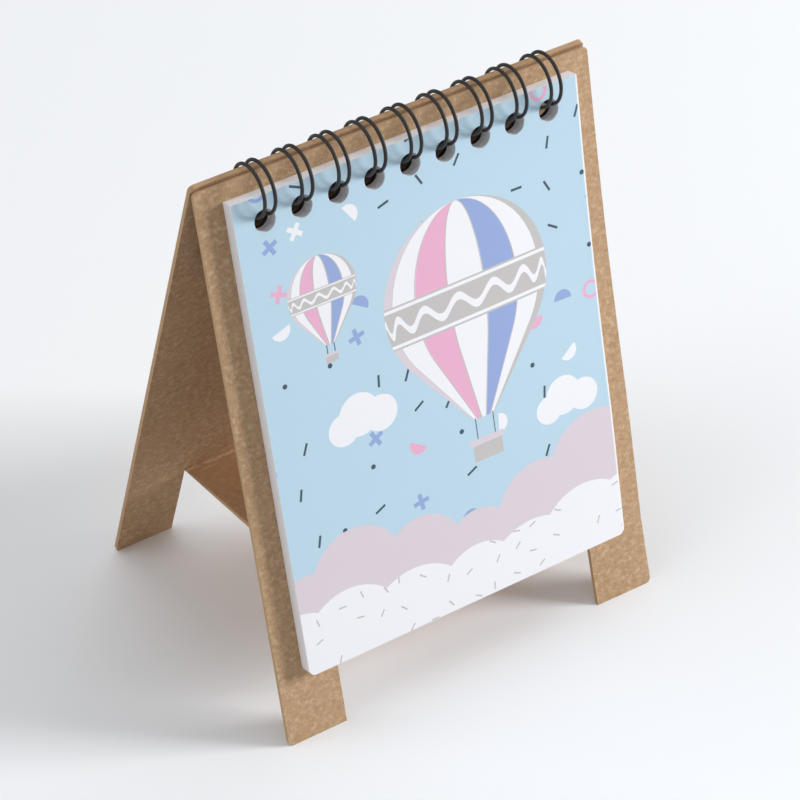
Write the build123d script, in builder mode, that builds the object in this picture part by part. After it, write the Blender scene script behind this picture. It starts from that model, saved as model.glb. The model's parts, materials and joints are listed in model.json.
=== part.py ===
from build123d import *
from math import acos, atan2, cos, degrees, floor, hypot, pi, radians, sin, sqrt
import os

# Easel desk calendar: a wire-bound pad of leaves on a stand of scored board.
# Millimetres, +Z up, the pad faces -Y. The feet stand on Z = 0 and the origin
# lies under the middle of the footprint.

# Driving dimensions of the leaves
pad_width = 81.5
pad_height = 106.5
month_leaf_count = 12
leaf_thickness = 0.21
leaf_gap = 0.02
leaf_corner_radius = 1.6
hole_diameter = 4.8
hole_to_leaf_top = 5.45
pad_share_behind_axis = 0.35

# Driving dimensions of the stand
lean = 16.0
board_thickness = 1.0
panel_side_margin = 5.95
panel_gap = 1.4
panel_top_clearance = 0.15
pad_lift = 15.8
back_panel_rise = 2.2
foot_width = 14.2
panel_top_radius = 1.2
foot_radius = 1.3
crease_height = 22.1
base_ridge_rise = 3.8
base_side_clearance = 0.3
crease_gap = 0.2

# Driving dimensions of the wire
wire_diameter = 0.8
wire_clearance = 0.12
loop_pitch = 8.467
loop_pair_spacing = 2.4
loop_side_margin = 6.0
loop_bend_radius = 1.0
loop_hang = 0.85
closure_gap = 0.45

# The wire's axis is the datum. Depths are measured behind it, square to a panel,
# and heights along that panel, upwards from the point level with the axis.
tilt = radians(lean)
leaf_pitch = leaf_thickness + leaf_gap
pad_thickness = (month_leaf_count + 1) * leaf_pitch
front_face_depth = pad_share_behind_axis * pad_thickness
front_rear_depth = front_face_depth + board_thickness
back_inner_depth = front_rear_depth + panel_gap
back_outer_depth = back_inner_depth + board_thickness

# The loops run round the back panel's top corner and hang the leaves in their holes.
wire_radius = wire_diameter / 2
loop_radius = hypot(back_outer_depth, back_panel_rise) + wire_radius + wire_clearance
loop_count = floor((pad_width - 2 * loop_side_margin) / loop_pitch) + 1
front_hole_row = -sqrt(loop_radius**2 - front_face_depth**2) - loop_hang
back_hole_row = -sqrt(loop_radius**2 - (back_outer_depth - board_thickness / 4) ** 2)

# Heights along the panels. The front panel ends just short of the back panel.
pad_top = front_hole_row + hole_to_leaf_top
pad_bottom = pad_top - pad_height
front_panel_top = (
    back_inner_depth - panel_top_clearance - front_rear_depth * cos(2 * tilt)
) / sin(2 * tilt)
front_panel_foot = pad_bottom - pad_lift
axis_z = front_face_depth * sin(tilt) - front_panel_foot * cos(tilt)
axis_y = -(front_face_depth + back_outer_depth) / (2 * cos(tilt))
back_panel_foot = -(axis_z + back_outer_depth * sin(tilt)) / cos(tilt)

# Widths
panel_width = pad_width + 2 * panel_side_margin
notch_width = panel_width - 2 * foot_width
base_width = notch_width - 2 * base_side_clearance

wire_axis = Vector(0, axis_y, axis_z)
front_normal = Vector(0, -cos(tilt), sin(tilt))
back_normal = Vector(0, cos(tilt), sin(tilt))

os.makedirs("parts", exist_ok=True)


def front_plane(depth):
    """Plane parallel to the front panel, at a depth behind the wire's axis."""
    return Plane(origin=wire_axis - front_normal * depth, x_dir=(1, 0, 0), z_dir=front_normal)


def back_plane(depth):
    """Plane parallel to the back panel, at a depth behind the wire's axis."""
    return Plane(origin=wire_axis + back_normal * depth, x_dir=(-1, 0, 0), z_dir=back_normal)


def punch_holes(row):
    """Round holes for the loops, cut from the open sketch at a height on its plane."""
    with Locations((0, row)):
        with GridLocations(loop_pitch, loop_pitch, loop_count, 1):
            Circle(hole_diameter / 2, mode=Mode.SUBTRACT)


def board_panel(outer_face, top, foot, notch_top, hole_row):
    """One leaning panel: rounded top, row of holes, two feet cut level with the table."""
    with BuildPart() as panel:
        with BuildSketch(outer_face) as outline:
            with Locations((0, (top + foot) / 2)):
                Rectangle(panel_width, top - foot)
            fillet(outline.vertices().group_by(Axis.Y)[-1], panel_top_radius)
            fillet(outline.vertices().group_by(Axis.Y)[0], foot_radius)
            with Locations((0, foot)):
                Rectangle(notch_width, 2 * (notch_top - foot), mode=Mode.SUBTRACT)
            punch_holes(hole_row)
        extrude(amount=-board_thickness)
        split(bisect_by=Plane.XY, keep=Keep.TOP)
    return panel.part


def pad_leaf(slot):
    """One leaf of the pad. Slot 0 lies on the front panel."""
    rear_face = front_plane(front_face_depth - leaf_gap - slot * leaf_pitch)
    with BuildPart() as leaf:
        with BuildSketch(rear_face) as outline:
            with Locations((0, (pad_top + pad_bottom) / 2)):
                Rectangle(pad_width, pad_height)
            fillet(outline.vertices().group_by(Axis.Y)[0], leaf_corner_radius)
            punch_holes(front_hole_row)
        extrude(amount=leaf_thickness)
    return leaf.part


def write(part, name):
    part.label = name
    export_step(part, f"parts/{name}.step")


# Front and back panels. Each notch ends at the crease of the base.
front_notch_top = (crease_height - axis_z + front_rear_depth * sin(tilt)) / cos(tilt)
back_notch_top = (crease_height - axis_z - back_inner_depth * sin(tilt)) / cos(tilt)
front_panel = board_panel(
    front_plane(front_face_depth), front_panel_top, front_panel_foot, front_notch_top, front_hole_row
)
back_panel = board_panel(
    back_plane(back_outer_depth), back_panel_rise, back_panel_foot, back_notch_top, back_hole_row
)

# Base: two halves creased to the panels, which meet in a low ridge under the middle.
crease_y = axis_y + (back_inner_depth + (axis_z - crease_height) * sin(tilt)) / cos(tilt)
base_slope = atan2(base_ridge_rise, crease_y)
base_drop = board_thickness / cos(base_slope)
ridge_y = crease_gap / 2
ridge_z = crease_height + base_ridge_rise

with BuildPart() as base_rear:
    with BuildSketch(Plane.YZ):
        with BuildLine():
            crease_end = (crease_y - crease_gap, crease_height)
            underside_end = (crease_y - crease_gap + base_drop * sin(tilt), crease_height - base_drop)
            Polyline(
                crease_end,
                (ridge_y, ridge_z),
                (ridge_y, ridge_z - base_drop),
                underside_end,
                close=True,
            )
        make_face()
    extrude(amount=base_width / 2, both=True)

with BuildPart() as base_front:
    add(base_rear.part)
    mirror(about=Plane.XZ, mode=Mode.REPLACE)

# Wire: one length bent into pairs of loops. It starts between the panels, runs forward
# through the pad, over the top and back in through the back panel, and turns at each tip.
spine_depth = front_rear_depth + panel_gap / 2
spine_reach = hypot(loop_radius, loop_bend_radius)
spine_angle = -lean - degrees(acos(spine_depth / spine_reach))
start_angle = spine_angle - degrees(atan2(loop_bend_radius, loop_radius))
tip_angle = spine_angle + degrees((wire_diameter + closure_gap) / loop_radius)
end_angle = tip_angle + degrees(atan2(loop_pair_spacing / 2, loop_radius)) - 360


def loop_point(x, angle):
    """Point of the loop's centre line in the plane across X."""
    return Vector(x, axis_y + loop_radius * cos(radians(angle)), axis_z + loop_radius * sin(radians(angle)))


def loop_direction(angle):
    """Direction of travel along a loop, from the spine towards its tip."""
    return Vector(0, sin(radians(angle)), -cos(radians(angle)))


def draw_loop(x, angles):
    """One leg of a pair: two arcs through five angles."""
    points = [loop_point(x, angle) for angle in angles]
    ThreePointArc(points[0], points[1], points[2])
    ThreePointArc(points[2], points[3], points[4])


leg_angles = [start_angle + (end_angle - start_angle) * share / 4 for share in range(5)]
spine_step = loop_direction(start_angle) * loop_bend_radius
across = Vector(loop_bend_radius, 0, 0)
loop_centres = [(index - (loop_count - 1) / 2) * loop_pitch for index in range(loop_count)]

with BuildPart() as wire_binding:
    with BuildLine() as wire_path:
        for index, centre in enumerate(loop_centres):
            left = centre - loop_pair_spacing / 2
            right = centre + loop_pair_spacing / 2
            draw_loop(left, leg_angles)
            tip = loop_point(centre, end_angle) + loop_direction(end_angle) * (loop_pair_spacing / 2)
            ThreePointArc(loop_point(left, end_angle), tip, loop_point(right, end_angle))
            draw_loop(right, leg_angles[::-1])
            if index < loop_count - 1:
                leaving = loop_point(right, start_angle)
                arriving = loop_point(left + loop_pitch, start_angle)
                out_middle = leaving + across - (across + spine_step) * sqrt(0.5)
                in_middle = arriving - across + (across - spine_step) * sqrt(0.5)
                ThreePointArc(leaving, out_middle, leaving + across - spine_step)
                Line(leaving + across - spine_step, arriving - across - spine_step)
                ThreePointArc(arriving - across - spine_step, in_middle, arriving)
    wire_line = wire_path.wires()[0]
    with BuildSketch(Plane(origin=wire_line @ 0, z_dir=wire_line % 0)):
        Circle(wire_radius)
    sweep(path=wire_line)


def least_gap(line, step):
    """Smallest clear distance between stretches of the wire that lie far apart along it."""
    count = int(line.length / step)
    points = [line @ (index / count) for index in range(count + 1)]
    apart = int(3 * wire_diameter / step)
    gaps = [
        (points[first] - points[second]).length
        for first in range(len(points))
        for second in range(first + apart, min(len(points), first + apart + int(4 * loop_pitch / step)))
    ]
    return min(gaps) - wire_diameter


write(front_panel, "front_panel")
write(back_panel, "back_panel")
write(base_front.part, "base_front")
write(base_rear.part, "base_rear")
write(wire_binding.part, "wire_binding")
for slot in range(month_leaf_count):
    write(pad_leaf(slot), f"month_leaf_{month_leaf_count - slot:02d}")
write(pad_leaf(month_leaf_count), "cover_leaf")

wire_volume = pi * wire_radius**2 * wire_line.length
print(f"wire axis at y {axis_y:.3f}, z {axis_z:.3f}, loop radius {loop_radius:.3f}, loops {loop_count}")
print(f"wire length {wire_line.length:.1f}, volume {wire_binding.part.volume:.1f} of {wire_volume:.1f}")
print(f"least gap of the wire to itself {least_gap(wire_line, wire_diameter / 4):.2f}")
print(f"spine angle {spine_angle:.1f}, tip angle {tip_angle:.1f}, crease y {crease_y:.3f}")
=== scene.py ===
import calendar
import json
import math

import bmesh
import bpy
from bpy.props import FloatProperty, FloatVectorProperty, IntProperty, PointerProperty
from mathutils import Matrix, Vector


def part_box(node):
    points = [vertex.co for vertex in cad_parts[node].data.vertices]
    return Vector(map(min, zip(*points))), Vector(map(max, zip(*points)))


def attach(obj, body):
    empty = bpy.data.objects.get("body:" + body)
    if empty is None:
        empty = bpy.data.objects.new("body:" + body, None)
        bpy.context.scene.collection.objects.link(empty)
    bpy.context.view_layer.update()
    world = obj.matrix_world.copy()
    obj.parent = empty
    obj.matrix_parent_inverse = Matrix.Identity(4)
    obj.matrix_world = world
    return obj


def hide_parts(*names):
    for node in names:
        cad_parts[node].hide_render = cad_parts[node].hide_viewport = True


bl_info = {
    "name": "Easel Calendar",
    "version": (1, 0, 0),
    "blender": (4, 5, 0),
    "location": "View3D > Sidebar > Calendar",
    "description": "Dresses the packed easel calendar: board, wire, leaves, cover print and stage",
    "category": "Object",
}

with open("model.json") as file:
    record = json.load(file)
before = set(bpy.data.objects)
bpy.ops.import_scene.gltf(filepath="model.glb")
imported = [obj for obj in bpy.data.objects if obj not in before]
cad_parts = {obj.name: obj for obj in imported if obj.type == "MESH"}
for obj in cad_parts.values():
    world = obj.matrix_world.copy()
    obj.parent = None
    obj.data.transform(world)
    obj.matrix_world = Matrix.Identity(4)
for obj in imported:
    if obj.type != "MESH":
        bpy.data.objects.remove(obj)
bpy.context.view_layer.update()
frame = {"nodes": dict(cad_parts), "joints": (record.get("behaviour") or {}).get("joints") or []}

MM = 0.001
JOINTS = {joint["name"]: joint for joint in frame["joints"]}
WIRE_AXIS = Vector(JOINTS["easel_fold"]["pos_m"])

# A leaf turns from the front panel to the back panel, which lean by the same angle.
LEAN = math.radians(360 - JOINTS["cover_turn"]["range_deg"][1]) / 2
FRONT_UP = Vector((0, math.sin(LEAN), math.cos(LEAN)))
FRONT_OUT = Vector((0, -math.cos(LEAN), math.sin(LEAN)))
BACK_OUT = Vector((0, math.cos(LEAN), math.sin(LEAN)))

MONTHS = range(1, 13)
WEEK_DAYS = 7
GRID_ROWS = 6
PRINT_YEAR = 2023


def reach(node, direction):
    """How far a CAD node lies along a direction, from the wire's axis."""
    along = [(vertex.co - WIRE_AXIS).dot(direction) for vertex in frame["nodes"][node].data.vertices]
    return min(along), max(along)


PAD_BOTTOM, PAD_TOP = reach("cover_leaf", FRONT_UP)
COVER_FACE = reach("cover_leaf", FRONT_OUT)[1]
LEAF_PITCH = COVER_FACE - reach("month_leaf_01", FRONT_OUT)[1]
PAD_HALF_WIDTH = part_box("cover_leaf")[1].x
PANEL_HALF_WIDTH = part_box("front_panel")[1].x
CREASE_Y = JOINTS["base_rear_crease"]["pos_m"][1]
RIGHT = Vector((1, 0, 0))

# Steps at which the panel and the leaves are cut so that they can bend.
BOARD_STRIP = 8 * MM
LEAF_STRIP = 6 * MM

# Painted shade: the inside of the board and the hole walls are darkened this far below the wire's axis,
# where the holes and the top of the fold lie in shade.
HOLE_REACH = 24 * MM

# Shares of the way down the pad at which the panel's sag ends and its foot's bow is full.
SAG_END = 0.74
FOOT_END = 1.15


def linear(channel):
    """Scene-linear value of one screen channel, 0 to 255."""
    share = channel / 255
    return share / 12.92 if share <= 0.04045 else ((share + 0.055) / 1.055) ** 2.4


def colour(name, description, default):
    """A colour property, given as it shows on screen."""
    return FloatVectorProperty(
        name=name, description=description, default=[linear(channel) for channel in default],
        subtype="COLOR", size=3, min=0.0, max=1.0,
    )


def length(name, description, default):
    """A length property in metres."""
    return FloatProperty(name=name, description=description, default=default, unit="LENGTH", precision=5)


class StandSettings(bpy.types.PropertyGroup):
    """Sizes and colours of the board stand."""

    kraft: colour("Kraft", "Main tone of the board", (182, 150, 117))
    kraft_dark: colour("Dark Fibre", "Tone of the darker fibres", (154, 120, 87))
    kraft_light: colour("Light Fibre", "Tone of the paler fibres", (208, 181, 149))
    # Painted light: a lighter, warmer kraft for the base halves, which sit in the shade of the fold.
    kraft_warm: colour("Warm Kraft", "Tone of the board inside the fold", (214, 164, 124))
    cut_edge: colour("Cut Edge", "Tone of the board's cut edges", (178, 144, 106))
    score: colour("Score", "Tone of the board where a crease has cracked it", (232, 208, 178))
    # Painted shade: this dark tone on the hole walls and the inner faces near the wire stands for the shade
    # there.
    rubbed: colour("Painted Shade", "Tone of the punched holes, darkened by the wire", (34, 29, 26))
    edge_softness: length("Edge Softness", "Width of the rounding along the cut edges", 0.16 * MM)
    fold_reach: length("Fold Reach", "How far each half of the base runs under its panel's edge", 0.9 * MM)
    ridge_reach: length("Ridge Reach", "How far each half of the base reaches towards the other", 0.09 * MM)
    bow: length("Bow", "How far the front panel's right foot bends forward", 0.9 * MM)
    sag: length("Sag", "How far the front panel's right side bends back at mid-height", 0.8 * MM)


class WireSettings(bpy.types.PropertyGroup):
    """Sizes and colours of the wire binding."""

    coating: colour("Coating", "Colour of the wire's coating", (38, 36, 35))
    pitch: length("Pitch", "Distance from one pair of loops to the next", 8.467 * MM)
    diameter: length("Diameter", "Thickness of the wire", 0.76 * MM)
    pair_spacing: length("Pair Spacing", "Distance between the two legs of a pair of loops", 2.4 * MM)
    bend_radius: length("Bend Radius", "Radius of the bend from a loop into the spine", 1.0 * MM)
    loop_start: FloatProperty(
        name="Loop Start", description="Angle at which a leg leaves the spine",
        default=math.radians(-86.80), subtype="ANGLE",
    )
    loop_end: FloatProperty(
        name="Loop End", description="Angle at which a leg reaches its tip",
        default=math.radians(-411.05), subtype="ANGLE",
    )


class PadSettings(bpy.types.PropertyGroup):
    """Sizes and colours of the leaves."""

    paper: colour("Paper", "Tone of the paper", (243, 242, 244))
    ruling: colour("Ruling", "Tone of the lines between the days", (198, 205, 212))
    # Painted shade: a darker tone for the right-facing leaf edges, which the lamp on the right lights
    # brightly.
    handled: colour("Painted Edge Shade", "Edge by which fingers turn the leaves", (216, 214, 213))
    ink: colour("Ink", "Colour of the day numbers", (74, 88, 116))
    holiday_ink: colour("Holiday Ink", "Colour of the numbers in the first column", (222, 128, 156))
    skew: length("Skew", "How far the pad's right edge is cut out of square over its height", 1.4 * MM)
    digit_height: length("Digit Height", "Height of the day numbers", 3.6 * MM)


class CoverSettings(bpy.types.PropertyGroup):
    """Colours of the cover print."""

    sky: colour("Sky", "Background of the print", (184, 211, 227))
    cloud: colour("Cloud", "White of the print", (236, 236, 240))
    grey: colour("Grey", "Grey bands of the print", (192, 188, 187))
    lilac: colour("Lilac", "Lilac shapes of the print", (214, 203, 212))
    navy: colour("Navy", "Small dark strokes", (62, 82, 104))
    periwinkle: colour("Periwinkle", "Blue confetti", (146, 166, 212))
    pink: colour("Pink", "Pink confetti", (228, 172, 200))
    trim: length("Trim", "White left along the right edge where the print stops short", 0.35 * MM)


class StageSettings(bpy.types.PropertyGroup):
    """Floor and light."""

    floor: colour("Floor", "Tone of the floor", (244, 246, 249))
    air: colour("Air", "Colour of the even light all round", (250, 253, 255))
    key_power: FloatProperty(
        name="Key Light", description="Power of the large lamp on the right", default=24.5, unit="POWER",
    )
    side_power: FloatProperty(
        name="Side Light", description="Power of the wide lamp on the left", default=8.0, unit="POWER",
    )
    top_power: FloatProperty(
        name="Top Light", description="Power of the wide lamp overhead", default=10.5, unit="POWER",
    )
    fill: FloatProperty(name="Fill", description="Strength of the even light all round", default=0.28)


class Value:
    """One output of a shader node. Operators on it add Math nodes to its tree."""

    def __init__(self, tree, socket):
        self.tree = tree
        self.socket = socket

    def math(self, operation, *operands):
        node = self.tree.nodes.new("ShaderNodeMath")
        node.operation = operation
        for socket, operand in zip(node.inputs, operands):
            plug(self.tree, socket, operand)
        return Value(self.tree, node.outputs[0])

    def __add__(self, other):
        return self.math("ADD", self, other)

    def __radd__(self, other):
        return self.math("ADD", other, self)

    def __sub__(self, other):
        return self.math("SUBTRACT", self, other)

    def __rsub__(self, other):
        return self.math("SUBTRACT", other, self)

    def __mul__(self, other):
        return self.math("MULTIPLY", self, other)

    def __truediv__(self, other):
        return self.math("DIVIDE", self, other)

    def __lt__(self, other):
        return self.math("LESS_THAN", self, other)

    def __gt__(self, other):
        return self.math("GREATER_THAN", self, other)

    def __and__(self, other):
        return self.math("MINIMUM", self, other)

    def __or__(self, other):
        return self.math("MAXIMUM", self, other)

    def __abs__(self):
        return self.math("ABSOLUTE", self)

    def floor(self):
        return self.math("FLOOR", self)

    def root(self):
        return self.math("SQRT", self)

    def sine(self):
        return self.math("SINE", self)

    def cosine(self):
        return self.math("COSINE", self)

    def arcsine(self):
        return self.math("ARCSINE", self)


def plug(tree, socket, value):
    """Link a value to a socket, or set the socket to a number or colour."""
    if isinstance(value, Value):
        tree.links.new(value.socket, socket)
    elif isinstance(value, (int, float)):
        socket.default_value = value
    else:
        socket.default_value = list(value) + [1.0] * (len(socket.default_value) - len(value))


class Finish:
    """One material and its node tree."""

    def __init__(self, name):
        self.material = bpy.data.materials.new(name)
        self.material.use_nodes = True
        self.tree = self.material.node_tree
        self.tree.nodes.clear()

    def node(self, kind, settings, inputs, output=0):
        """Add a node: its settings first, then the values or links of its sockets."""
        node = self.tree.nodes.new(kind)
        for name, setting in settings.items():
            if name == "stops":
                set_ramp(node.color_ramp, setting)
            else:
                setattr(node, name, setting)
        for name, value in inputs.items():
            plug(self.tree, node.inputs[name], value)
        return Value(self.tree, node.outputs[output])

    def place(self):
        """Object coordinates as three values."""
        return self.split(self.node("ShaderNodeTexCoord", {}, {}, "Object"))

    def facing(self, direction):
        """How far the surface faces a direction fixed to the piece, from -1 to 1."""
        normal = self.node("ShaderNodeTexCoord", {}, {}, "Normal")
        return self.node(
            "ShaderNodeVectorMath", {"operation": "DOT_PRODUCT"}, {0: normal, 1: direction}, "Value"
        )

    def split(self, vector):
        """The three components of a vector or colour."""
        return [self.node("ShaderNodeSeparateXYZ", {}, {0: vector}, axis) for axis in range(3)]

    def mix(self, share, first, second):
        """Colour between two colours."""
        return self.node("ShaderNodeMix", {"data_type": "RGBA"}, {0: share, 6: first, 7: second}, 2)

    def ramp(self, share, stops, interpolation="LINEAR"):
        """Share mapped through a ramp of positions and greys or colours."""
        return self.node("ShaderNodeValToRGB", {"stops": (interpolation, stops)}, {0: share})

    def grain(self, size, detail=2.0, stretch=(1.0, 1.0, 1.0), turn=(0.0, 0.0, 0.0)):
        """Noise whose grains have a size in metres, drawn out along the axes."""
        coordinates = self.node("ShaderNodeTexCoord", {}, {}, "Object")
        scale = [1 / share for share in stretch]
        placed = self.node(
            "ShaderNodeMapping", {}, {"Vector": coordinates, "Rotation": turn, "Scale": scale}
        )
        return self.node("ShaderNodeTexNoise", {}, {"Vector": placed, "Scale": 1 / size, "Detail": detail})

    def chance(self, *cell):
        """Three random values for a cell of a pattern."""
        index = self.node("ShaderNodeCombineXYZ", {}, dict(enumerate(cell)))
        return self.split(self.node("ShaderNodeTexWhiteNoise", {}, {"Vector": index}, "Color"))

    def bump(self, height, distance, strength):
        """Normal of a relief whose height runs from 0 to a distance."""
        return self.node(
            "ShaderNodeBump", {}, {"Strength": strength, "Distance": distance, "Height": height}
        )

    def surface(self, **sockets):
        """Close the tree with one principled shader."""
        inputs = {name.replace("_", " "): value for name, value in sockets.items()}
        shader = self.node("ShaderNodeBsdfPrincipled", {}, inputs)
        output = self.tree.nodes.new("ShaderNodeOutputMaterial")
        plug(self.tree, output.inputs["Surface"], shader)
        return self.material


def set_ramp(ramp, setting):
    """Fill a colour ramp with an interpolation and its stops."""
    interpolation, stops = setting
    ramp.interpolation = interpolation
    while len(ramp.elements) < len(stops):
        ramp.elements.new(1.0)
    for element, (position, tone) in zip(ramp.elements, stops):
        element.position = position
        element.color = (tone, tone, tone, 1.0) if isinstance(tone, (int, float)) else (*tone, 1.0)


def activate(piece):
    """Make a piece the only selected one."""
    bpy.ops.object.select_all(action="DESELECT")
    piece.select_set(True)
    bpy.context.view_layer.objects.active = piece


def copy_node(node, name):
    """A merged copy of a CAD node as a piece of its own."""
    piece = bpy.data.objects.new(name, frame["nodes"][node].data.copy())
    piece.data.name = name
    piece.data.materials.clear()
    bpy.context.collection.objects.link(piece)
    activate(piece)
    bpy.ops.mesh.customdata_custom_splitnormals_clear()
    bpy.ops.object.mode_set(mode="EDIT")
    bpy.ops.mesh.select_all(action="SELECT")
    bpy.ops.mesh.remove_doubles(threshold=0.001 * MM)
    bpy.ops.object.mode_set(mode="OBJECT")
    bpy.ops.object.shade_flat()
    return piece


def cut_strips(piece, direction, low, high, step):
    """Cut a piece across a direction at even steps, so that it can bend."""
    activate(piece)
    bpy.ops.object.mode_set(mode="EDIT")
    count = round((high - low) / step)
    for index in range(1, count):
        bpy.ops.mesh.select_all(action="SELECT")
        point = WIRE_AXIS + direction * (low + (high - low) * index / count)
        bpy.ops.mesh.bisect(plane_co=point, plane_no=direction)
    bpy.ops.object.mode_set(mode="OBJECT")


def soften_edges(piece, width):
    """Round the sharp edges of a piece a little."""
    activate(piece)
    bpy.ops.object.modifier_add(type="BEVEL")
    bevel = piece.modifiers[-1]
    bevel.width = width
    bevel.segments = 2
    bevel.limit_method = "ANGLE"
    bevel.angle_limit = math.radians(40)
    bpy.ops.object.modifier_apply(modifier=bevel.name)


def ease(value, low, high):
    """Smooth step from 0 at low to 1 at high."""
    share = min(max((value - low) / (high - low), 0.0), 1.0)
    return share * share * (3 - 2 * share)


def descent(point):
    """Share of the way down from the wire's axis to the pad's lower edge."""
    return (point - WIRE_AXIS).dot(FRONT_UP) / PAD_BOTTOM


def panel_bend(point, settings):
    """Forward bend of the front panel: its right side sags back, then bows forward at the foot."""
    down = max(descent(point), 0.0)
    side = ease(point.x, 0.0, PANEL_HALF_WIDTH)
    sag = settings.sag * math.sin(math.pi * min(down / SAG_END, 1.0))
    return side * (settings.bow * ease(down, 1.0, FOOT_END) - sag)


def bend_forward(piece, settings):
    """Move each point of a piece towards the reader by the front panel's bend there."""
    for vertex in piece.data.vertices:
        vertex.co.y -= panel_bend(vertex.co, settings)


def dress(piece, material, slot, body, *nodes):
    """Give a finished piece its material and body, and hide the CAD nodes that it replaces. The slot is not
    used.
    """
    piece.data.materials.append(material)
    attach(piece, body)
    if nodes:
        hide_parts(*nodes)


def rubbed_share(finish, x, z):
    """Share of the painted shade round the holes and inside the fold: full near the wire, gone far below it
    and at the sides.
    """
    near = finish.ramp((z - WIRE_AXIS.z) / HOLE_REACH + 1, [(0.0, 0), (0.4, 1)])
    from_side = finish.ramp((PAD_HALF_WIDTH + 2 * MM - abs(x)) / (4 * MM), [(0, 0), (1, 1)])
    return near * (z < WIRE_AXIS.z) * from_side


def kraft_board(name, face_normal, settings, scored=False):
    """Uncoated kraft board: mottled pulp with short fibres, layered cut edges and cracked score lines;
    painted shade round the holes and on the inner faces near the wire, and painted light on the scored base
    halves.
    """
    finish = Finish(name)
    cloudy = finish.grain(11 * MM, 3.0)
    mottle = finish.grain(0.95 * MM, 3.0, (1.3, 1.3, 1.0))
    pulp = finish.grain(0.42 * MM, 3.0)
    rising = finish.grain(0.42 * MM, 2.0, (1.0, 1.0, 4.0), (0.0, 0.6, 0.0))
    falling = finish.grain(0.42 * MM, 2.0, (1.0, 1.0, 4.0), (0.0, -0.8, 0.0))
    dark = finish.ramp(mottle * 0.6 + pulp * 0.25 + cloudy * 0.15, [(0.5, 0), (0.68, 1)])
    light = finish.ramp(mottle * 0.65 + pulp * 0.35, [(0.36, 1), (0.48, 0)])
    fibre = finish.ramp(rising | falling, [(0.62, 0), (0.74, 1)])
    tone = finish.mix(dark * 0.65, settings.kraft, settings.kraft_dark)
    tone = finish.mix(light * 0.6, tone, settings.kraft_light)
    tone = finish.mix(fibre * 0.3, tone, settings.kraft_light)
    tone = finish.mix((pulp > 0.64) * 0.5, tone, settings.kraft_dark)
    edge = 1 - abs(finish.facing(face_normal))
    edge_share = finish.ramp(edge, [(0.15, 0), (0.7, 1)])
    layers = finish.grain(0.4 * MM, 2.0, (6.0, 6.0, 1.0))
    edge_tone = finish.mix(layers, settings.cut_edge, settings.kraft)
    tone = finish.mix(edge_share * 0.75, tone, edge_tone)
    x, y, z = finish.place()
    # Painted shade: the cut edges and the inner faces near the wire take a dark tone for the shade round
    # the holes and inside the fold.
    inner = finish.facing(face_normal) < -0.5
    tone = finish.mix((edge_share | inner) * rubbed_share(finish, x, z) * 0.95, tone, settings.rubbed)
    if scored:
        from_crease = abs(abs(y) - CREASE_Y)
        cracks = finish.grain(0.8 * MM, 4.0, (2.5, 1.0, 1.0))
        # Painted light: the base halves are lightened and warmed towards this tone, less on their edges,
        # standing in for light that the fold shades from them.
        tone = finish.mix(0.42 - edge_share * 0.3, tone, settings.kraft_warm)
        first = (abs(from_crease - 0.6 * MM) < 0.45 * MM) * (cracks > 0.46)
        second = (abs(from_crease - 2.3 * MM) < 0.3 * MM) * (cracks > 0.56)
        tone = finish.mix((first | second) * 0.5, tone, settings.score)
    return finish.surface(
        Base_Color=tone,
        Roughness=0.8 + dark * 0.12,
        Normal=finish.bump(mottle * 0.35 + pulp * 0.4 + fibre * 0.25, 0.08 * MM, 0.4),
        Specular_IOR_Level=0.2,
    )


def coated_wire(settings):
    """Black coated steel, with fine unevenness in the coating."""
    finish = Finish("coated_wire")
    uneven = finish.grain(0.6 * MM, 3.0)
    worn = finish.grain(3 * MM, 2.0)
    tone = finish.mix(worn * 0.5, settings.coating, [channel * 1.7 for channel in settings.coating])
    return finish.surface(
        Base_Color=tone,
        Roughness=0.46 + uneven * 0.18,
        Normal=finish.bump(uneven, 0.015 * MM, 0.3),
        Specular_IOR_Level=0.4,
    )


def leaf_place(finish):
    """Millimetres across a leaf from its middle and up from its lower edge."""
    x, y, z = finish.place()
    up = y * (FRONT_UP.y / MM) + z * (FRONT_UP.z / MM) - (WIRE_AXIS.dot(FRONT_UP) + PAD_BOTTOM) / MM
    return x / MM, up


def leaf_number(finish):
    """A leaf's number, counted from the cover."""
    y, z = finish.place()[1:]
    out = y * FRONT_OUT.y + z * FRONT_OUT.z - WIRE_AXIS.dot(FRONT_OUT)
    return ((COVER_FACE - out) / LEAF_PITCH + 0.1).floor()


def paper_grain(finish):
    """Fine relief of uncoated paper."""
    return finish.bump(finish.grain(0.35 * MM, 3.0), 0.02 * MM, 0.3)


def disc(x, y, centre_x, centre_y, radius):
    """Mask of a disc."""
    across = x - centre_x
    above = y - centre_y
    return (across * across + above * above) < radius * radius


def discs(x, y, circles):
    """Mask of several discs together."""
    mask = disc(x, y, *circles[0])
    for circle in circles[1:]:
        mask = mask | disc(x, y, *circle)
    return mask


def box(x, y, centre_x, centre_y, width, height):
    """Mask of an upright rectangle."""
    return (abs(x - centre_x) < width / 2) * (abs(y - centre_y) < height / 2)


def scatter(finish, x, y, pitch, seed):
    """A loose grid of spots: the place from each spot, turned at random, and two random values."""
    column = x / pitch + seed
    row = y / pitch + seed * 1.7
    cell_x = column.floor()
    cell_y = row.floor()
    shift_x, shift_y, pick = finish.chance(cell_x, cell_y, seed)
    turn, shade = finish.chance(cell_x, cell_y, seed + 9.5)[:2]
    across = (column - cell_x - 0.5 - (shift_x - 0.5) * 0.5) * pitch
    above = (row - cell_y - 0.5 - (shift_y - 0.5) * 0.5) * pitch
    angle = turn * (2 * math.pi)
    along = across * angle.cosine() + above * angle.sine()
    aside = above * angle.cosine() - across * angle.sine()
    return along, aside, pick, shade


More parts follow.
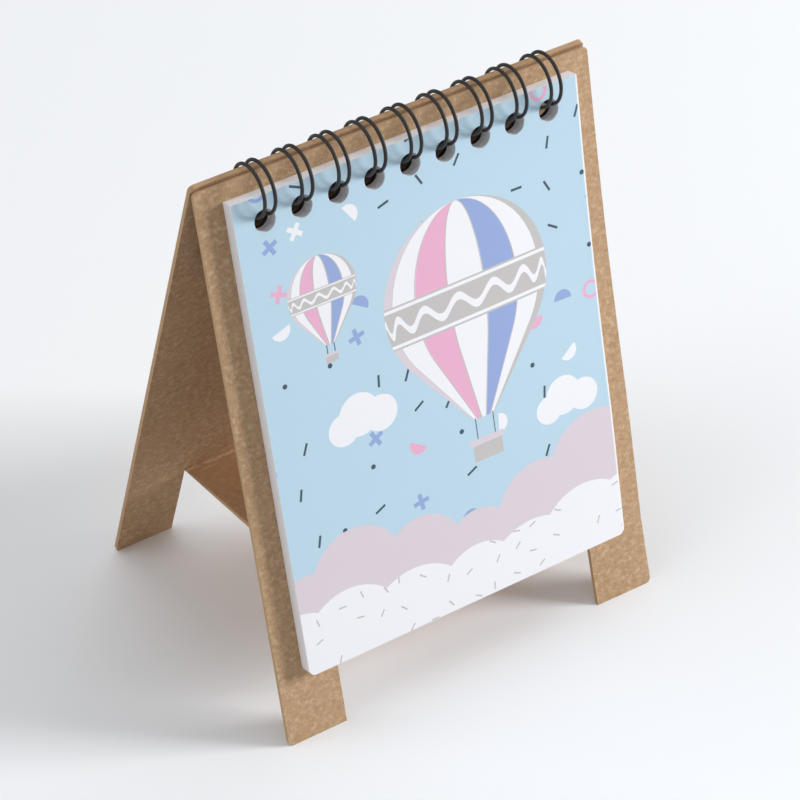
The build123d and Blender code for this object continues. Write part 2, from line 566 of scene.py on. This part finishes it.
def paint_confetti(finish, tone, x, y, settings):
    """Dots and strokes of ink, with rings, half discs and crosses between them."""
    along, aside, pick, shade = scatter(finish, x, y, pitch=9.6, seed=3.2)
    away = (along * along + aside * aside).root()
    stroke = (abs(along) < 1.35) * (abs(aside) < 0.27) * (pick < 0.34)
    dot = (away < 0.55) * (pick > 0.34) * (pick < 0.55)
    tone = finish.mix(stroke | dot, tone, settings.navy)
    ring = (abs(away - 1.75) < 0.38) * (pick > 0.55) * (pick < 0.68)
    half = (away < 2.2) * (aside > 0.0) * (pick > 0.68) * (pick < 0.8)
    arms = (abs(along) < 0.5) | (abs(aside) < 0.5)
    cross = arms * (abs(along) < 1.9) * (abs(aside) < 1.9) * (pick > 0.8) * (pick < 0.92)
    brights = [(0.0, settings.cloud), (0.36, settings.periwinkle), (0.66, settings.pink)]
    return finish.mix(ring | half | cross, tone, finish.ramp(shade, brights, "CONSTANT"))


# Below the middle the balloon's side leaves its circle at a tangent and runs straight to the mouth.
TAPER_START = 0.62
TAPER_WIDTH = math.sqrt(1 - TAPER_START**2)


def paint_balloon(finish, tone, x, y, centre_x, centre_y, radius, settings):
    """A striped balloon: gores in pale colours, a patterned band, cords and a basket."""
    across = x - centre_x
    above = y - centre_y
    mouth = -1.45 * radius
    tangent = -TAPER_START * radius
    tapers = above < tangent
    round_width = ((radius * radius - above * above) | 0.01).root()
    taper_width = (above - tangent) * (TAPER_START / TAPER_WIDTH) + TAPER_WIDTH * radius
    width = (round_width * (1 - tapers) + taper_width * tapers) | 0.01
    envelope = (abs(across) < width) * (abs(above - (radius + mouth) / 2) < (radius - mouth) / 2)
    stripes = [
        settings.lilac, settings.cloud, settings.pink, settings.cloud, settings.periwinkle, settings.cloud,
        settings.grey,
    ]
    gores = len(stripes)
    gore = ((((across / width) & 0.999) | -0.999).arcsine() / math.pi + 0.5) * gores
    stops = [(index / gores, stripe) for index, stripe in enumerate(stripes)]
    tone = finish.mix(envelope, tone, finish.ramp(gore / gores, stops, "CONSTANT"))
    from_seam = abs(gore - (gore + 0.5).floor()) * width * (math.pi / gores)
    tone = finish.mix(envelope * (from_seam < 0.14), tone, settings.grey)
    up_band = above + 0.1 * radius
    band = envelope * (abs(up_band) < 0.24 * radius)
    tone = finish.mix(band, tone, settings.grey)
    tone = finish.mix(band * (abs(abs(up_band) - 0.2 * radius) < 0.018 * radius), tone, settings.cloud)
    wave = (gore * (2 * math.pi)).sine() * (0.08 * radius)
    tone = finish.mix(band * (abs(up_band - wave) < 0.045 * radius), tone, settings.cloud)
    basket_y = centre_y + mouth - 0.36 * radius
    cords = (abs(abs(across) - 0.11 * radius) < 0.11) * (abs(y - basket_y - 0.2 * radius) < 0.18 * radius)
    tone = finish.mix(cords, tone, settings.navy)
    basket = box(x, y, centre_x, basket_y, 0.36 * radius, 0.24 * radius)
    tone = finish.mix(basket, tone, settings.grey)
    rim = box(x, y, centre_x, basket_y + 0.1 * radius, 0.42 * radius, 0.07 * radius)
    return finish.mix(rim, tone, settings.lilac)


# Shapes of the cover: centre across and up from the lower edge, and radius, in millimetres.
LARGE_BALLOON = (9, 70, 20)
SMALL_BALLOON = (-24, 82, 8)
BACK_CLOUDS = [(-38, 14, 9), (-26, 18, 11), (-10, 15, 10), (4, 12, 9), (20, 15, 11), (35, 20, 12)]
FRONT_CLOUDS = [(-42, 4, 11), (-29, 3, 13), (-13, 0, 14), (3, 2, 11), (17, -1, 14), (31, 3, 13), (42, 6, 9)]
SMALL_CLOUDS = [
    (-24, 51, 3.6), (-20, 53, 4.8), (-15, 51.5, 4),
    (25, 36, 3.2), (29, 38, 4.4), (34, 36.5, 3.6),
]


def cover_print(settings, pad):
    """The cover: balloons over a bank of clouds with confetti, white on the back and the edges."""
    finish = Finish("cover_print")
    x, y = leaf_place(finish)
    mottle = finish.grain(9 * MM, 3.0)
    tone = finish.mix(mottle * 0.3, settings.sky, [channel * 0.94 for channel in settings.sky])
    tone = paint_confetti(finish, tone, x, y, settings)
    tone = finish.mix(discs(x, y, SMALL_CLOUDS), tone, settings.cloud)
    tone = paint_balloon(finish, tone, x, y, *LARGE_BALLOON, settings)
    tone = paint_balloon(finish, tone, x, y, *SMALL_BALLOON, settings)
    tone = finish.mix(discs(x, y, BACK_CLOUDS), tone, settings.lilac)
    bank = discs(x, y, FRONT_CLOUDS)
    tone = finish.mix(bank, tone, settings.cloud)
    along, aside, pick = scatter(finish, x, y, pitch=5.5, seed=1.3)[:3]
    stroke = (abs(along) < 0.9) * (abs(aside) < 0.17) * (pick > 0.3)
    tone = finish.mix(bank * stroke, tone, settings.grey)
    # The print stops short of the right edge, which is cut out of square.
    edge = (y * (-MM / PAD_BOTTOM) - 0.5) * (pad.skew / MM) + PAD_HALF_WIDTH / MM
    printed = (finish.facing(FRONT_OUT) > 0.5) * (x < edge - settings.trim / MM)
    return finish.surface(
        Base_Color=finish.mix(printed, pad.paper, tone),
        Roughness=0.55 + mottle * 0.1,
        Normal=paper_grain(finish),
        Specular_IOR_Level=0.35,
    )


# Places on a month leaf, in millimetres across from its middle and up from its lower edge.
HEAD_LOW = 58.0
SUN = (20, 89, 5.5)
MONTH_NUMBER_PLACE = (-26.0, 90.0)
MONTH_NUMBER_SCALE = 3.0
GRID_LEFT = -35.0
GRID_WIDTH = 70.0
GRID_LOW = 7.0
GRID_HEIGHT = 42.0
GRID_RIM = 0.3
RULE_HALF_WIDTH = 0.14
COLUMN_WIDTH = GRID_WIDTH / WEEK_DAYS
ROW_HEIGHT = GRID_HEIGHT / GRID_ROWS

# How far the day numbers stand on the paper.
INK_HEIGHT = 0.006 * MM


def month_print(settings, cover):
    """A month leaf: a coloured head with hills over a ruled table, white on the back and the edges, with
    painted shade on the right-facing edges.
    """
    finish = Finish("month_print")
    x, y = leaf_place(finish)
    pick, warm, low = finish.chance(leaf_number(finish), 0.5, 2.5)
    sheet = finish.mix(pick * 0.5, settings.paper, [channel * 0.95 for channel in settings.paper])
    # Painted shade: the right-facing edges are darkened, by a random share per leaf, against the lamp on
    # the right.
    handled = finish.facing(RIGHT) > 0.5
    sheet = finish.mix(handled * (low * 0.5 + 0.5), sheet, settings.handled)
    heads = [(0.0, cover.sky), (0.3, cover.lilac), (0.5, cover.periwinkle), (0.75, cover.pink)]
    head = finish.ramp(warm, heads, "CONSTANT")
    in_head = y > HEAD_LOW
    tone = finish.mix(in_head, settings.paper, head)
    far_hills = (x / 9 + pick * 6).sine() * 3.5 + HEAD_LOW + 17
    tone = finish.mix(in_head * (y < far_hills), tone, cover.lilac)
    near_hills = (x / 13 + low * 6).sine() * 4 + HEAD_LOW + 9
    tone = finish.mix(in_head * (y < near_hills), tone, cover.cloud)
    tone = finish.mix(in_head * disc(x, y, *SUN), tone, cover.cloud)
    column = (x - GRID_LEFT) / COLUMN_WIDTH
    row = (y - GRID_LOW) / ROW_HEIGHT
    inside = box(x, y, 0, GRID_LOW + GRID_HEIGHT / 2, GRID_WIDTH + GRID_RIM, GRID_HEIGHT + GRID_RIM)
    off_column = abs(column - (column + 0.5).floor()) * COLUMN_WIDTH
    off_row = abs(row - (row + 0.5).floor()) * ROW_HEIGHT
    rules = (off_column < RULE_HALF_WIDTH) | (off_row < RULE_HALF_WIDTH)
    tone = finish.mix(inside * rules, tone, settings.ruling)
    bar = box(x, y, 0, GRID_LOW + GRID_HEIGHT + 2.2, GRID_WIDTH + GRID_RIM, 3.0)
    tone = finish.mix(bar, tone, head)
    printed = finish.facing(FRONT_OUT) > 0.5
    return finish.surface(
        Base_Color=finish.mix(printed, sheet, tone),
        Roughness=0.75 + pick * 0.1,
        Normal=paper_grain(finish),
        Specular_IOR_Level=0.3,
    )


def number_ink(settings):
    """Printing ink of the day numbers, in a second colour in the first column."""
    finish = Finish("number_ink")
    x, y = leaf_place(finish)
    first_column = (x < GRID_LEFT + COLUMN_WIDTH) * (y < HEAD_LOW)
    even = finish.grain(0.6 * MM)
    ink = finish.mix(first_column, settings.ink, settings.holiday_ink)
    return finish.surface(
        Base_Color=finish.mix(even * 0.2, ink, settings.paper), Roughness=0.6, Specular_IOR_Level=0.3
    )


class CALENDAR_OT_stand(bpy.types.Operator):
    """Model the four pieces of the board stand"""

    bl_idname = "calendar.stand"
    bl_label = "Board Stand"

    def execute(self, context):
        settings = context.scene.calendar_stand
        front = copy_node("front_panel", "front_board")
        low, high = reach("front_panel", FRONT_UP)
        cut_strips(front, FRONT_UP, low, high, BOARD_STRIP)
        cut_strips(front, RIGHT, -PANEL_HALF_WIDTH, PANEL_HALF_WIDTH, BOARD_STRIP)
        soften_edges(front, settings.edge_softness)
        bend_forward(front, settings)
        material = kraft_board("kraft_front", FRONT_OUT, settings)
        dress(front, material, "kraft_board", "front_panel", "front_panel")

        back = copy_node("back_panel", "back_board")
        soften_edges(back, settings.edge_softness)
        material = kraft_board("kraft_back", BACK_OUT, settings)
        dress(back, material, "kraft_board", "back_panel", "back_panel")

        for node, side in (("base_front", -1), ("base_rear", 1)):
            half = copy_node(node, f"{node}_board")
            low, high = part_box(node)
            for vertex in half.data.vertices:
                at_crease = side * vertex.co.y > CREASE_Y / 2
                vertex.co.y += side * (settings.fold_reach if at_crease else -settings.ridge_reach)
            soften_edges(half, settings.edge_softness)
            normal = Vector((0, side * (high.z - low.z) / (high.y - low.y), 1)).normalized()
            material = kraft_board(f"kraft_{node}", normal, settings, scored=True)
            dress(half, material, "kraft_board", node, node)
        return {"FINISHED"}


class CALENDAR_OT_wire(bpy.types.Operator):
    """Bend the wire into its row of double loops"""

    bl_idname = "calendar.wire"
    bl_label = "Wire Binding"

    leg_steps: IntProperty(name="Leg Steps", description="Steps along each leg", default=48)
    bend_step: IntProperty(name="Bend Step", description="Degrees between points in a bend", default=15)

    def execute(self, context):
        settings = context.scene.calendar_wire
        low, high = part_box("wire_binding")
        radius = (high.z - low.z - settings.diameter) / 2
        span = high.x - low.x - settings.diameter - settings.pair_spacing
        loops = round(span / settings.pitch) + 1
        pitch = span / (loops - 1)
        half = settings.pair_spacing / 2
        turns = [
            settings.loop_start + (settings.loop_end - settings.loop_start) * step / self.leg_steps
            for step in range(self.leg_steps + 1)
        ]
        tip_heading = Vector((0, math.sin(settings.loop_end), -math.cos(settings.loop_end)))
        spine_heading = Vector((0, math.sin(settings.loop_start), -math.cos(settings.loop_start)))
        half_turn = [math.radians(angle) for angle in range(self.bend_step, 180, self.bend_step)]
        quarter_turn = [math.radians(angle) for angle in range(self.bend_step, 90, self.bend_step)]
        points = []
        for index in range(loops):
            middle = (index - (loops - 1) / 2) * pitch
            for turn in turns:
                points.append(self.on_loop(middle - half, radius, turn))
            tip = self.on_loop(middle, radius, settings.loop_end)
            for angle in half_turn:
                aside = Vector((-half * math.cos(angle), 0, 0))
                points.append(tip + aside + tip_heading * (half * math.sin(angle)))
            for turn in reversed(turns):
                points.append(self.on_loop(middle + half, radius, turn))
            if index < loops - 1:
                points += self.spine_bends(
                    self.on_loop(middle + half, radius, settings.loop_start),
                    self.on_loop(middle + pitch - half, radius, settings.loop_start),
                    spine_heading, settings.bend_radius, quarter_turn,
                )
        wire = self.tube(points, settings.diameter)
        dress(wire, coated_wire(settings), "binding_wire", "front_panel", "wire_binding")
        return {"FINISHED"}

    def on_loop(self, x, radius, angle):
        """Point of a loop's centre line in the plane across X."""
        return Vector((x, WIRE_AXIS.y + radius * math.cos(angle), WIRE_AXIS.z + radius * math.sin(angle)))

    def spine_bends(self, leave, arrive, heading, size, angles):
        """Rounded run along the spine from the end of one pair to the start of the next."""
        across = Vector((size, 0, 0))
        out = []
        back = []
        for angle in angles:
            aside = across * (1 - math.cos(angle))
            down = heading * (size * math.sin(angle))
            out.append(leave + aside - down)
            back.insert(0, arrive - aside - down)
        return out + [leave + across - heading * size, arrive - across - heading * size] + back

    def tube(self, points, diameter):
        """A round mesh tube along a line of points."""
        curve = bpy.data.curves.new("wire_loops", "CURVE")
        curve.dimensions = "3D"
        curve.bevel_depth = diameter / 2
        curve.bevel_resolution = 5
        curve.use_fill_caps = True
        spline = curve.splines.new("POLY")
        spline.points.add(len(points) - 1)
        for place, point in zip(spline.points, points):
            place.co = (*point, 1)
        wire = bpy.data.objects.new("wire_loops", curve)
        bpy.context.collection.objects.link(wire)
        activate(wire)
        bpy.ops.object.convert(target="MESH")
        wire = bpy.context.object
        bpy.ops.object.shade_smooth_by_angle(angle=math.radians(50))
        return wire


def skew_edge(sheet, skew):
    """Move a leaf's right edge to where the trimming knife left it, out of square."""
    margin = 0.92 * PAD_HALF_WIDTH
    for vertex in sheet.data.vertices:
        from_middle = 0.5 - descent(vertex.co)
        vertex.co.x += skew * from_middle * ease(vertex.co.x, margin, PAD_HALF_WIDTH)


class CALENDAR_OT_leaves(bpy.types.Operator):
    """Cut the cover and the month leaves and print them"""

    bl_idname = "calendar.leaves"
    bl_label = "Cover and Leaves"

    def execute(self, context):
        pad = context.scene.calendar_pad
        stand = context.scene.calendar_stand
        cover = context.scene.calendar_cover
        sheet = copy_node("cover_leaf", "cover_sheet")
        cut_strips(sheet, FRONT_UP, PAD_BOTTOM, PAD_TOP, LEAF_STRIP)
        cut_strips(sheet, RIGHT, -PAD_HALF_WIDTH, PAD_HALF_WIDTH, LEAF_STRIP)
        skew_edge(sheet, pad.skew)
        flat = sheet.data.copy()
        bend_forward(sheet, stand)
        dress(sheet, cover_print(cover, pad), "cover_print", "cover_leaf", "cover_leaf")

        paper = month_print(pad, cover)
        ink = number_ink(pad)
        digits = self.make_digits(pad.digit_height)
        for month in MONTHS:
            node = f"month_leaf_{month:02d}"
            depth = FRONT_OUT * (-month * LEAF_PITCH)
            leaf = bpy.data.objects.new(f"month_sheet_{month:02d}", flat.copy())
            bpy.context.collection.objects.link(leaf)
            leaf.data.transform(Matrix.Translation(depth))
            bend_forward(leaf, stand)
            dress(leaf, paper, "leaf_paper", node, node)
            numbers = self.set_month(month, digits, depth)
            bend_forward(numbers, stand)
            dress(numbers, ink, "leaf_paper", node)
        return {"FINISHED"}

    def make_digits(self, height):
        """A flat mesh for each number that a month needs."""
        digits = {}
        for number in range(1, 32):
            bpy.ops.object.select_all(action="DESELECT")
            bpy.ops.object.text_add()
            text = bpy.context.object
            text.data.body = str(number)
            text.data.size = height
            text.data.align_x = "CENTER"
            text.data.align_y = "CENTER"
            text.data.resolution_u = 3
            bpy.ops.object.convert(target="MESH")
            digits[number] = bpy.context.object.data.copy()
            bpy.ops.object.delete()
        return digits

    def set_month(self, month, digits, depth):
        """The day numbers of one month, and its own number in the head, as one flat piece."""
        first, days = calendar.monthrange(PRINT_YEAR, month)
        lower_edge = WIRE_AXIS + FRONT_UP * PAD_BOTTOM + FRONT_OUT * (COVER_FACE + INK_HEIGHT) + depth
        upright = Matrix((RIGHT, FRONT_UP, FRONT_OUT)).transposed().to_4x4()
        cells = bmesh.new()
        for day in range(1, days + 1):
            row, column = divmod(first + day, WEEK_DAYS)
            x = GRID_LEFT + (column + 0.5) * COLUMN_WIDTH
            y = GRID_LOW + (GRID_ROWS - row - 0.5) * ROW_HEIGHT
            self.set_digit(cells, digits[day], x, y, 1.0, lower_edge, upright)
        self.set_digit(cells, digits[month], *MONTH_NUMBER_PLACE, MONTH_NUMBER_SCALE, lower_edge, upright)
        mesh = bpy.data.meshes.new(f"day_numbers_{month:02d}")
        cells.to_mesh(mesh)
        cells.free()
        numbers = bpy.data.objects.new(mesh.name, mesh)
        bpy.context.collection.objects.link(numbers)
        return numbers

    def set_digit(self, cells, digit, x, y, scale, lower_edge, upright):
        """Add one number to the others at its place on the leaf."""
        before = len(cells.verts)
        cells.from_mesh(digit)
        cells.verts.ensure_lookup_table()
        place = Matrix.Translation(lower_edge + Vector((x * MM, 0, 0)) + FRONT_UP * (y * MM))
        bmesh.ops.transform(
            cells, matrix=place @ upright @ Matrix.Scale(scale, 4), verts=cells.verts[before:]
        )


FLOOR_SIZE = 6.0
LAMP_AIM = Vector((0.0, 0.0, 0.05))

# Camera as fitted to the photograph: place in metres, angles in degrees, lens and sensor in millimetres.
CAMERA_PLACE = (-0.31134, -0.44430, 0.51172)
CAMERA_ANGLES = (49.435, -1.373, -34.180)
CAMERA_LENS = 152.44
SENSOR_WIDTH = 36.0


class CALENDAR_OT_stage(bpy.types.Operator):
    """Set the floor, the lights and the camera"""

    bl_idname = "calendar.stage"
    bl_label = "Stage"

    def execute(self, context):
        settings = context.scene.calendar_stage
        bpy.ops.object.select_all(action="DESELECT")
        bpy.ops.mesh.primitive_plane_add(size=FLOOR_SIZE)
        floor = bpy.context.object
        floor.name = "floor"
        finish = Finish("floor_paper")
        floor.data.materials.append(
            finish.surface(Base_Color=settings.floor, Roughness=0.9, Specular_IOR_Level=0.1)
        )

        self.hang_lamp("key_light", settings.key_power, (0.85, -0.48, 0.36), distance=1.6, size=0.5)
        self.hang_lamp("side_light", settings.side_power, (-0.85, 0.25, 0.5), distance=1.5, size=1.4)
        self.hang_lamp("top_light", settings.top_power, (0.1, 0.25, 1.0), distance=1.8, size=1.6)

        world = bpy.data.worlds.new("studio")
        world.use_nodes = True
        background = world.node_tree.nodes["Background"]
        background.inputs["Color"].default_value = (*settings.air, 1.0)
        background.inputs["Strength"].default_value = settings.fill
        context.scene.world = world

        bpy.ops.object.camera_add(
            location=CAMERA_PLACE, rotation=[math.radians(angle) for angle in CAMERA_ANGLES]
        )
        camera = bpy.context.object
        camera.data.lens = CAMERA_LENS
        camera.data.sensor_width = SENSOR_WIDTH
        camera.data.clip_start = 0.01
        context.scene.camera = camera
        context.scene.view_settings.view_transform = "Standard"
        return {"FINISHED"}

    def hang_lamp(self, name, power, direction, distance, size):
        """A square lamp that shines on the object from a direction."""
        direction = Vector(direction).normalized()
        bpy.ops.object.light_add(type="AREA", location=LAMP_AIM + direction * distance)
        lamp = bpy.context.object
        lamp.name = name
        lamp.rotation_euler = direction.to_track_quat("Z", "Y").to_euler()
        lamp.data.shape = "SQUARE"
        lamp.data.size = size
        lamp.data.energy = power


OPERATORS = (CALENDAR_OT_stand, CALENDAR_OT_wire, CALENDAR_OT_leaves, CALENDAR_OT_stage)


class CALENDAR_PT_sidebar(bpy.types.Panel):
    """Steps that dress the calendar, in order"""

    bl_label = "Easel Calendar"
    bl_space_type = "VIEW_3D"
    bl_region_type = "UI"
    bl_category = "Calendar"

    def draw(self, context):
        for operator in OPERATORS:
            self.layout.operator(operator.bl_idname)


SETTINGS = {
    "calendar_stand": StandSettings,
    "calendar_wire": WireSettings,
    "calendar_pad": PadSettings,
    "calendar_cover": CoverSettings,
    "calendar_stage": StageSettings,
}


def register():
    for group in SETTINGS.values():
        bpy.utils.register_class(group)
    for name, group in SETTINGS.items():
        setattr(bpy.types.Scene, name, PointerProperty(type=group))
    for operator in OPERATORS:
        bpy.utils.register_class(operator)
    bpy.utils.register_class(CALENDAR_PT_sidebar)


def unregister():
    bpy.utils.unregister_class(CALENDAR_PT_sidebar)
    for operator in reversed(OPERATORS):
        bpy.utils.unregister_class(operator)
    for name, group in SETTINGS.items():
        delattr(bpy.types.Scene, name)
        bpy.utils.unregister_class(group)


def main():
    register()
    bpy.ops.calendar.stand()
    bpy.ops.calendar.wire()
    bpy.ops.calendar.leaves()
    bpy.ops.calendar.stage()


if __name__ == "__main__":
    main()
